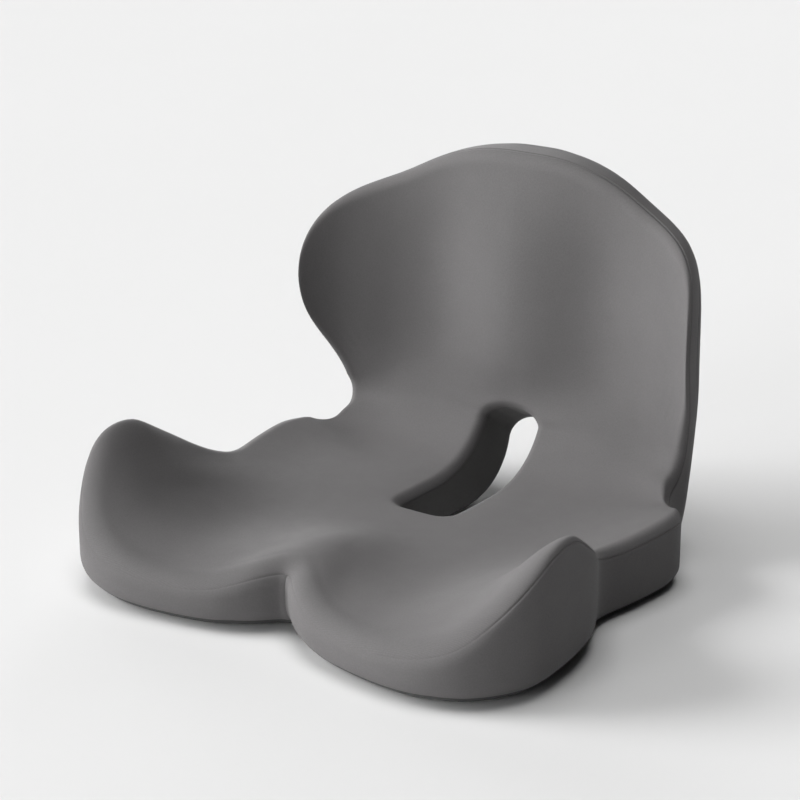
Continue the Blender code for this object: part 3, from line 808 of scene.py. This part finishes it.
def grid_faces(rings, columns, close_columns, close_rings=False):
    """Quads between neighbouring rings of a grid."""
    i = np.arange(rings if close_rings else rings - 1)[:, None]
    j = np.arange(columns if close_columns else columns - 1)[None, :]
    k, m = (i + 1) % rings, (j + 1) % columns
    corners = (i * columns + j, k * columns + j, k * columns + m, i * columns + m)
    return np.stack(corners, axis=-1).reshape(-1, 4)


def turned_in(face, lean, places, axis):
    """Adds an edge that turns in at each end of an axis, as a seam allowance does."""
    width = [(1, 1) if number == axis else (0, 0) for number in range(3)]
    face, lean, places = (np.pad(grid, width, "edge") for grid in (face, lean, places))
    ends = (slice(None),) * axis + ([0, -1],)
    face[ends] -= lean[ends] * SEAM_TURN
    return face, lean, places


def cover_piece(name, cover, ring_span, column_span, look, slot, nodes):
    """One panel of the cover, between two rings and, if given, two columns."""
    skin, normals, places = cover
    ring_index = np.arange(ring_span[0], ring_span[1] + 1) % len(skin)
    wrap = column_span is None
    first, last = (0, COLUMNS - 1) if wrap else column_span
    column_index = np.arange(first, last + 1) % COLUMNS
    pick = np.ix_(ring_index, column_index)
    face, lean, place = turned_in(skin[pick], normals[pick], places[pick], 0)
    if not wrap:
        face, lean, place = turned_in(face, lean, place, 1)
    mesh = mesh_of(name, face.reshape(-1, 3), grid_faces(*face.shape[:2], wrap))
    attribute = mesh.attributes.new("cloth_place", "FLOAT_VECTOR", "POINT")
    flat = np.zeros((place.shape[0] * place.shape[1], 3), np.float32)
    flat[:, :2] = place.reshape(-1, 2) * MM
    attribute.data.foreach_set("vector", flat.ravel())
    made = link(name, mesh, [look])
    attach(made, "cushion")
    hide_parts(*nodes)


def band_places(grid, first, last):
    """Places on the cloth of a panel that runs round the edge: along it, and across it."""
    across = loop_distance(grid, 0, first)
    middle = (first + last) // 2 % len(grid)
    step = np.linalg.norm(np.roll(grid[middle], -1, axis=0) - grid[middle], axis=1)
    along = np.cumsum(step) - step
    return np.stack(np.broadcast_arrays(along[None, :], across), axis=-1)


def heel_column():
    """The column whose outline point is nearest to the fold on the right side."""
    outline = outline_loop()[: COLUMNS // 2]
    return int(np.argmin(np.abs(outline[:, 1])))


def with_zip_opening(skin, side):
    """The skin with the cloth beside the zip drawn to one side of its opening."""
    low, high = node_box("zip_bottom_stop")[0][2], node_box("zip_top_stop")[1][2]
    x, y, z = skin[:, :, 0], skin[:, :, 1], skin[:, :, 2]
    opening = window(z, low, high, ZIP_END)
    near = 1.0 - smooth(np.abs(x) / ZIP_DRAW_IN)
    moved = x + side * ZIP_OPENING_HALF * opening * near
    bent = y + (x**2 - moved**2) / (2.0 * WALL_MID_RADIUS)
    return np.stack([moved, bent, z], axis=-1)


def simulate_cloth(grid, held):
    """A closed grid of cloth after some frames under a little pressure. The held points stay."""
    faces = grid_faces(*grid.shape[:2], True, True)
    mesh = mesh_of("settling_cloth", grid.reshape(-1, 3), faces)
    cloth = link("settling_cloth", mesh, [])
    group = cloth.vertex_groups.new(name="held")
    group.add(np.flatnonzero(held.ravel()).tolist(), 1.0, "REPLACE")
    modifier = cloth.modifiers.new("cloth", "CLOTH")
    modifier.settings.vertex_group_mass = group.name
    modifier.settings.use_pressure = True
    modifier.settings.uniform_pressure_force = SETTLE_PRESSURE
    modifier.settings.effector_weights.gravity = 0.0
    modifier.collision_settings.use_collision = False
    scene = bpy.context.scene
    for number in range(1, SETTLE_FRAMES + 1):
        scene.frame_set(number)
    evaluated = cloth.evaluated_get(bpy.context.evaluated_depsgraph_get())
    moved = np.zeros(grid.size)
    evaluated.data.vertices.foreach_get("co", moved)
    bpy.data.objects.remove(cloth)
    bpy.data.meshes.remove(mesh)
    scene.frame_set(1)
    return moved.reshape(grid.shape) / MM


def settled(skin, normals, seams):
    """How far the cloth stands from the plain skin once it has settled between its seams.

    Only the movement along the normals is kept, and it is eased so that it stays under SETTLE_CAP.
    """
    step = np.linalg.norm(np.roll(skin, -1, axis=0) - skin, axis=2).mean(axis=1)
    reach = np.concatenate([[0.0], np.cumsum(step)])
    stops = sorted(seams.values()) + [len(skin)]
    picked = []
    for first, last in zip(stops, stops[1:]):
        count = max(1, round((reach[last] - reach[first]) / SETTLE_RING_STEP))
        wanted = np.linspace(reach[first], reach[last], count, endpoint=False)
        picked += np.abs(reach[:, None] - wanted).argmin(axis=0).tolist()
    picked = np.array(picked)
    columns = np.arange(0, COLUMNS, SETTLE_EVERY_COLUMN)
    pick = np.ix_(picked, columns)
    in_band = (picked >= seams["band_top"]) & (picked <= seams["band_foot"])
    held = np.isin(picked, list(seams.values()))[:, None] | (in_band[:, None] & (columns == 0))
    moved = simulate_cloth(skin[pick], held)
    swell = ((moved - skin[pick]) * normals[pick]).sum(axis=2)
    swell = SETTLE_CAP * np.tanh(swell / SETTLE_CAP)
    for _ in range(SETTLE_SMOOTHING):
        for axis in (0, 1):
            swell = (np.roll(swell, 1, axis) + 2.0 * swell + np.roll(swell, -1, axis)) / 4.0
    ring_place = np.interp(reach[:-1], np.append(reach[picked], reach[-1]), np.arange(len(picked) + 1))
    swell = closed_spline(swell, ring_place)
    swell = closed_spline(swell.T, np.arange(COLUMNS) / SETTLE_EVERY_COLUMN).T
    at_rear = skin[:, :, 1] > WALL_Y - FOOT_RADIUS
    clear_of_zip = smooth((np.abs(skin[:, :, 0]) - SETTLE_ZIP_FLAT) / SETTLE_ZIP_BLEND)
    free = np.where(at_rear, clear_of_zip, 1.0) * smooth(skin[:, :, 2] / SETTLE_FLOOR_BLEND)
    return (swell - SETTLE_START) * free


def build_cover(skin, normals, sheets, seams):
    relief = sewn_relief(skin, seams) + settled(skin, normals, seams)
    skin = skin + normals * relief[:, :, None]
    skin[:, :, 2] = np.maximum(skin[:, :, 2], BASE_LIFT)
    cover = (skin, normals, sheets)
    rear_right = (with_zip_opening(skin, 1.0), normals, sheets)
    rear_left = (with_zip_opening(skin, -1.0), normals, sheets)
    rings = len(skin)
    notch, top = 0, COLUMNS // 2
    heel_right = heel_column()
    heel_left = COLUMNS - heel_right
    band_span = (seams["band_top"], seams["band_foot"])
    under_span = (seams["band_foot"], seams["sleeve_foot"])
    sleeve_span = (seams["sleeve_foot"], rings + seams["sleeve_top"])
    band = (skin, normals, band_places(skin, *band_span))
    sleeve = (skin, normals, band_places(skin, *sleeve_span))
    knit = (KNIT, "knit_fabric")
    cover_piece("cover_top", cover, (0, band_span[0]), None, *knit, ["top_panel"])
    cover_piece("cover_band_right", band, band_span, (notch, top), *knit, ["side_band_right"])
    cover_piece("cover_band_left", band, band_span, (top, COLUMNS), *knit, ["side_band_left"])
    cover_piece("cover_back_right", rear_right, under_span, (heel_right, top), *knit, ["back_panel_right"])
    cover_piece("cover_back_left", rear_left, under_span, (top, heel_left), *knit, ["back_panel_left"])
    base_span = (heel_left, COLUMNS + heel_right)
    cover_piece("cover_base", cover, under_span, base_span, GRIP, "grip_fabric", ["base_panel"])
    cover_piece("slot_lining", sleeve, sleeve_span, None, SLEEVE, "sleeve_fabric", ["slot_sleeve"])


def build_foam(skin, normals, seams):
    """The moulded foam under the cover, with shallow recesses for the closure tapes and the zip."""
    rings = np.arange(len(skin))[:, None]
    under = (rings >= seams["band_foot"]) & (rings <= seams["sleeve_foot"])
    near_slot = smooth((CLOSURE_WIDTH - loop_distance(skin, 0, seams["sleeve_foot"])) / GAP + 1.0)
    depth = CLOTH + GAP + FOAM_EASE + 2.0 * (CLOSURE_TAPE + GAP) * under * near_slot
    body = skin - normals * depth[:, :, None]
    low, high = node_box("zip_tape_left")[0][2], node_box("zip_tape_left")[1][2]
    x, z = body[:, :, 0], body[:, :, 2]
    recess = smooth((RECESS_HALF_WIDTH - np.abs(x)) / RECESS_SLOPE + 1.0)
    recess *= window(z, low, high, RECESS_SLOPE)
    body[:, :, 1] -= RECESS_DEPTH * recess * under
    body = body[::FOAM_EVERY, ::FOAM_EVERY]
    faces = grid_faces(*body.shape[:2], True, True)
    made = link("foam_body", mesh_of("foam_body", body.reshape(-1, 3), faces), [FOAM])
    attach(made, "cushion")
    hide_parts("foam_core")


SIDES = ((-1.0, "left"), (1.0, "right"))


class Shape:
    """Vertices and faces in millimetres that grow as parts are added."""

    def __init__(self):
        self.vertices = []
        self.faces = []

    def add(self, vertices, faces):
        start = len(self.vertices)
        self.vertices += [tuple(v) for v in np.asarray(vertices).reshape(-1, 3)]
        self.faces += [tuple(int(i) + start for i in face) for face in faces]

    def finish(self, name, look, body, nodes=()):
        made = link(name, mesh_of(name, self.vertices, self.faces), [look])
        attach(made, body)
        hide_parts(*nodes)


def tube(shape, path, radius, sides, up):
    """A round tube along a path. Its radius may differ from point to point."""
    path = np.asarray(path, float)
    along = unit(np.gradient(path, axis=0))
    side = unit(np.cross(along, up))
    lift = np.cross(side, along)
    turn = circle(sides)
    ring = side[:, None] * np.cos(turn)[:, None] + lift[:, None] * np.sin(turn)[:, None]
    radius = np.broadcast_to(radius, len(path))[:, None, None]
    faces = [tuple(face) for face in grid_faces(len(path), sides, True)]
    last = (len(path) - 1) * sides
    faces += [tuple(range(sides)), tuple(range(last + sides - 1, last - 1, -1))]
    shape.add(path[:, None] + ring * radius, faces)


def block(shape, low, high, power=6.0, steps=8):
    """A block with softened edges between two corners."""
    low, high = np.minimum(low, high).astype(float), np.maximum(low, high).astype(float)
    turn = circle(4 * steps)
    rise = (even(2 * steps) - 0.5) * math.pi
    flat = squared(np.cos(rise), power)[:, None]
    x, y = flat * squared(np.cos(turn), power), flat * squared(np.sin(turn), power)
    grid = points(x, y, squared(np.sin(rise), power)[:, None])
    place = (low + high) / 2.0 + grid * (high - low) / 2.0
    shape.add(place, grid_faces(len(rise), len(turn), True)[:, ::-1])


def build_coils():
    """The zip's two coils: flattened spirals of nylon wire whose turns lock into each other."""
    for side, name in SIDES:
        teeth = f"zip_teeth_{name}"
        low, high = node_box(teeth)
        outer_x = max(abs(low[0]), abs(high[0])) - COIL_WIRE
        half_x = (outer_x + COIL_LOCK) / 2.0
        middle, half = (low + high) / 2.0, (high - low) / 2.0 - COIL_WIRE
        turns = 2.0 * half[2] / COIL_PITCH - COIL_SHIFT
        turn = even(int(turns * COIL_STEPS)) * turns * FULL_TURN
        x = side * (half_x - COIL_LOCK + half_x * np.cos(turn))
        y = middle[1] + half[1] * np.sin(turn)
        start = low[2] + COIL_WIRE + (COIL_SHIFT * COIL_PITCH if side > 0.0 else 0.0)
        path = points(x, y, start + COIL_PITCH * turn / FULL_TURN)
        coil = Shape()
        tube(coil, path, COIL_WIRE, THREAD_SIDES, up=(0, 0, 1))
        coil.finish(f"zip_coil_{name}", COIL, "cushion", [teeth])


def build_stops():
    for name in ("zip_top_stop", "zip_bottom_stop"):
        stop = Shape()
        block(stop, *node_box(name))
        stop.finish(f"{name}_clamp", METAL, "cushion", [name])


def rear_point(x, z, lift):
    """A point over the rear wall's broad middle arc."""
    return (x, WALL_Y - x * x / (2.0 * WALL_MID_RADIUS) + lift, z)


def build_zip_edges():
    """The rolled hem on each side of the zip's opening, its row of stitches, and the bar tacks."""
    low, high = node_box("zip_bottom_stop")[0][2], node_box("zip_top_stop")[1][2]
    stitches = Shape()
    for side, name in SIDES:
        hem = Shape()
        heights = low - ZIP_END + even(HEM_STEPS) * (high - low + 2.0 * ZIP_END)
        out = side * (ZIP_OPENING_HALF + HEM_OUTSET) * window(heights, low, high, ZIP_END)
        path = [rear_point(x, z, -HEM_RADIUS * HEM_SINK) for x, z in zip(out, heights)]
        tube(hem, path, HEM_RADIUS, sides=10, up=(0, 1, 0))
        hem.finish(f"zip_hem_{name}", KNIT_DARK, "cushion")
        x = side * (ZIP_OPENING_HALF + STITCH_FROM_EDGE)
        for z in np.arange(low, high - STITCH_LENGTH, STITCH_PITCH):
            spots = z + STITCH_LENGTH * even(len(STITCH_LIFT) - 1)
            path = [rear_point(x, spot, lift) for spot, lift in zip(spots, STITCH_LIFT)]
            tube(stitches, path, np.array(STITCH_SWELL) * STITCH_RADIUS, THREAD_SIDES, up=(0, 1, 0))
    for z_end, away in ((low - ZIP_END, 1.0), (high + ZIP_END, -1.0)):
        for row in range(TACK_ROWS):
            z = z_end + away * TACK_PITCH * row
            across = (2.0 * even(4) - 1.0) * TACK_HALF_WIDTH
            path = [rear_point(x, z, STITCH_RADIUS) for x in across]
            tube(stitches, path, STITCH_RADIUS, THREAD_SIDES, up=(0, 1, 0))
    stitches.finish("zip_stitches", THREAD, "cushion")


def build_slider():
    """The slider: two rounded plates, flanges that hold the coils, a wedge and an arch."""
    low, high = node_box("zip_slider")
    coil_low, coil_high = node_box("zip_teeth_left")
    outer = coil_high[1] + SLIDER_CLEAR
    slider = Shape()
    for y in (outer, low[1]):
        block(slider, (low[0], y, low[2]), (high[0], y + SLIDER_PLATE, high[2]), power=5.0)
    for side in (low[0], high[0]):
        inner = side - math.copysign(FLANGE_THICK, side)
        start = (inner, coil_low[1] + SLIDER_CLEAR, low[2] + FLANGE_INSET)
        end = (side, outer + SLIDER_PLATE / 2.0, high[2] - FLANGE_INSET)
        block(slider, start, end, power=4.0)
    start = (-WEDGE_HALF_WIDTH, low[1] + WEDGE_START, low[2] + WEDGE_START)
    block(slider, start, (WEDGE_HALF_WIDTH, outer + ROOT, low[2] + WEDGE_END), power=4.0)
    spring, crown = outer + SLIDER_PLATE, high[1] - ARCH_WIRE
    turn = even(12) * math.pi
    along = np.concatenate([[-ARCH_HALF_LENGTH], -ARCH_HALF_LENGTH * np.cos(turn), [ARCH_HALF_LENGTH]])
    rise = spring + ARCH_WIRE + (crown - spring - ARCH_WIRE) * np.sin(turn)
    height = np.concatenate([[spring - ARCH_ROOT], rise, [spring - ARCH_ROOT]])
    middle_z = (low[2] + high[2]) / 2.0
    tube(slider, points(0.0, height, middle_z + along), ARCH_WIRE, sides=10, up=(1, 0, 0))
    slider.finish("zip_slider_body", METAL, "zip_slider", ["zip_slider"])


def build_pull():
    """The pull tab: a long rounded plate with an eye, hung from the bar under the arch."""
    low, high = node_box("zip_pull")
    middle, half = (low + high) / 2.0, (high - low) / 2.0
    thick, eye_half = half[1], EYE_LENGTH / 2.0
    eye_middle = high[2] - EYE_BAR - eye_half
    turn = circle(PULL_SIDES)

    def loop(x_half, z_middle, z_half, power, height):
        x = x_half * squared(np.cos(turn), power)
        z = z_middle + z_half * squared(np.sin(turn), power)
        return points(x, middle[1] + height, z)

    # The bevel and the height of each section
    levels = (
        (PULL_BEVEL, thick), (0.0, thick - PULL_BEVEL),
        (0.0, PULL_BEVEL - thick), (PULL_BEVEL, -thick),
    )
    rim = [
        loop(half[0] - bevel, middle[2], half[2] - bevel, 3.5, height)
        for bevel, height in levels
    ]
    eye = [
        loop(EYE_HALF_WIDTH + bevel / 2.0, eye_middle, eye_half + bevel / 2.0, 3.0, height)
        for bevel, height in reversed(levels)
    ]
    grid = np.stack(rim + eye)
    pull = Shape()
    pull.add(grid, grid_faces(len(grid), PULL_SIDES, True, True))
    pull.finish("zip_pull_tab", METAL, "zip_pull", ["zip_pull"])


def inside(loop, place):
    """Whether each place is inside a closed loop on the sheet, by counting crossings."""
    start, end = loop, np.roll(loop, -1, axis=0)
    x, y = place[:, :1], place[:, 1:]
    spans = (start[:, 1] > y) != (end[:, 1] > y)
    rise = np.where(end[:, 1] == start[:, 1], 1.0, end[:, 1] - start[:, 1])
    cross_x = start[:, 0] + (y - start[:, 1]) * (end[:, 0] - start[:, 0]) / rise
    return (spans & (x < cross_x)).sum(axis=1) % 2 == 1


def build_grip_dots():
    """Rows of silicone dots under the base panel, which stand on the chair's seat."""
    outline = outline_loop()
    slot = slot_loop(outline)
    outer = outline + left_of(outline) * DOT_EDGE_MARGIN
    inner = slot - left_of(slot) * DOT_SLOT_MARGIN
    row_pitch = DOT_PITCH * math.sqrt(3.0) / 2.0
    spots = []
    for row, s in enumerate(np.arange(outline[:, 1].min(), DOT_REAR_S, row_pitch)):
        shift = 0.5 * (row % 2)
        spots += [(a * DOT_PITCH + shift * DOT_PITCH, s) for a in range(-DOT_COLUMNS, DOT_COLUMNS)]
    spots = np.array(spots)
    spots = spots[inside(outer, spots) & ~inside(inner, spots)]
    centres = under_side(spots)
    turn = circle(DOT_SIDES)
    # The radius, in dot radii, and the height of each ring of a dot, from its root to its tip
    section = ((1.0, BASE_LIFT + ROOT), (1.0, BASE_LIFT * 0.6), (0.85, BASE_LIFT * 0.2), (0.5, 0.0))
    ring = np.stack([np.cos(turn), np.sin(turn)], axis=1)
    dot = np.concatenate([points(*(ring * share * DOT_RADIUS).T, z) for share, z in section])
    faces = [tuple(face) for face in grid_faces(len(section), len(turn), True)[:, ::-1]]
    faces.append(tuple(range(len(dot) - 1, len(dot) - 1 - len(turn), -1)))
    dots = Shape()
    for x, y, _ in centres:
        dots.add(dot + (x, y, 0.0), faces)
    dots.finish("grip_dots", SILICONE, "cushion")


def paint_nodes():
    """Materials for the CAD nodes that stay as they are."""
    for tapes, look in ((CLOSURE_TAPES, CLOSURE), (ZIP_TAPES, TAPE)):
        for name in tapes:
            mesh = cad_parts[name].data
            mesh.materials.clear()
            mesh.materials.append(look)


# Studio
VIEW_AZIMUTH = 35.9
VIEW_ELEVATION = 19.2
VIEW_DISTANCE = 1.715
VIEW_LENS = 97.2
VIEW_SENSOR = 36.0
VIEW_AIM = (-0.0064, -0.0037, 0.1429)
FLOOR_COLOUR = (0.70, 0.70, 0.70)
STUDIO_REACH = 12000.0
WALL_SIDES = 96
WALL_GLOW = 0.85  # as bright as the lit floor
STUDIO_MOTTLE = 0.005  # how much the floor and the wall vary either way
ROOM_STRENGTH = 0.02
# Each lamp's name, azimuth, elevation, spread and strength
LIGHTS = (
    ("key", -65.0, 30.0, 30.0, 2.4),
    ("fill", -50.0, 8.0, 30.0, 2.2),
    ("front", -15.0, 8.0, 30.0, 1.72),
    ("side", -120.0, 12.0, 30.0, 1.1),
    ("rear", 210.0, 8.0, 30.0, 1.5),
    ("top", 0.0, 89.0, 40.0, 1.63),
)


def facing(place, aim):
    return (Vector(aim) - Vector(place)).to_track_quat("-Z", "Y").to_euler()


def around(aim, azimuth, elevation, distance):
    """A place seen from the aim at an azimuth, clockwise from -Y seen from above, and an elevation."""
    turn, lift = math.radians(azimuth), math.radians(elevation)
    away = Vector((math.sin(turn) * math.cos(lift), -math.cos(turn) * math.cos(lift), math.sin(lift)))
    return Vector(aim) + away * distance


def add_camera():
    data = bpy.data.cameras.new("view")
    data.sensor_width = VIEW_SENSOR
    data.lens = VIEW_LENS
    camera = show("view", data)
    camera.location = around(VIEW_AIM, VIEW_AZIMUTH, VIEW_ELEVATION, VIEW_DISTANCE)
    camera.rotation_euler = facing(camera.location, VIEW_AIM)
    bpy.context.scene.camera = camera


def add_light(name, azimuth, elevation, spread_angle, strength):
    """A far, broad softbox: a sun lamp whose disc is this many degrees across."""
    data = bpy.data.lights.new(name, "SUN")
    data.angle = math.radians(spread_angle)
    data.energy = strength
    lamp = show(name, data)
    lamp.location = around(VIEW_AIM, azimuth, elevation, VIEW_DISTANCE)
    lamp.rotation_euler = facing(lamp.location, VIEW_AIM)


def add_floor():
    """A pale floor that is far wider than the view."""
    made, shader, tree = material("studio_floor", FLOOR_COLOUR, roughness=0.9)
    shader.inputs["Specular IOR Level"].default_value = 0.0
    mottle = spread(tree, noise(tree, scale=1.5), 1.0 - STUDIO_MOTTLE, 1.0 + STUDIO_MOTTLE)
    tint(tree, shader, FLOOR_COLOUR, mottle)
    size = STUDIO_REACH
    corners = [(-size, -size, 0.0), (size, -size, 0.0), (size, size, 0.0), (-size, size, 0.0)]
    floor = link("studio_floor", mesh_of("studio_floor", corners, [(0, 1, 2, 3)]), [made])


def add_backdrop():
    """A round pale wall at the floor's far edge. It neither lights the object nor shades it."""
    made, shader, tree = material("studio_wall", (0.0, 0.0, 0.0), roughness=0.9)
    shader.inputs["Specular IOR Level"].default_value = 0.0
    low, high = (1.0 - STUDIO_MOTTLE) * WALL_GLOW, (1.0 + STUDIO_MOTTLE) * WALL_GLOW
    glow = spread(tree, noise(tree, scale=1.5), low, high)
    shader.inputs["Emission Color"].default_value = (1.0, 1.0, 1.0, 1.0)
    tree.links.new(glow, shader.inputs["Emission Strength"])
    turn = circle(WALL_SIDES)
    ring = points(STUDIO_REACH * np.cos(turn), STUDIO_REACH * np.sin(turn), 0.0)
    wall_rings = np.stack([ring, ring + (0.0, 0.0, STUDIO_REACH)])
    faces = grid_faces(2, WALL_SIDES, True)
    wall_mesh = mesh_of("studio_wall", wall_rings.reshape(-1, 3), faces)
    backdrop = link("studio_wall", wall_mesh, [made])
    backdrop.visible_shadow = False
    backdrop.visible_diffuse = False
    backdrop.visible_glossy = False


def add_world():
    """An almost dark room: the lamps and the pale floor give the light."""
    world = bpy.data.worlds.new("studio")
    world.use_nodes = True
    background = world.node_tree.nodes["Background"]
    background.inputs["Color"].default_value = (1.0, 1.0, 1.0, 1.0)
    background.inputs["Strength"].default_value = ROOM_STRENGTH
    bpy.context.scene.world = world
    bpy.context.scene.view_settings.view_transform = "Standard"


skin, sheets, seams = cover_skin()
normals = outward_normals(skin)
build_cover(skin, normals, sheets, seams)
build_foam(skin, normals, seams)
build_grip_dots()
build_coils()
build_stops()
build_zip_edges()
build_slider()
build_pull()
paint_nodes()
add_camera()
add_floor()
add_backdrop()
add_world()
for light in LIGHTS:
    add_light(*light)
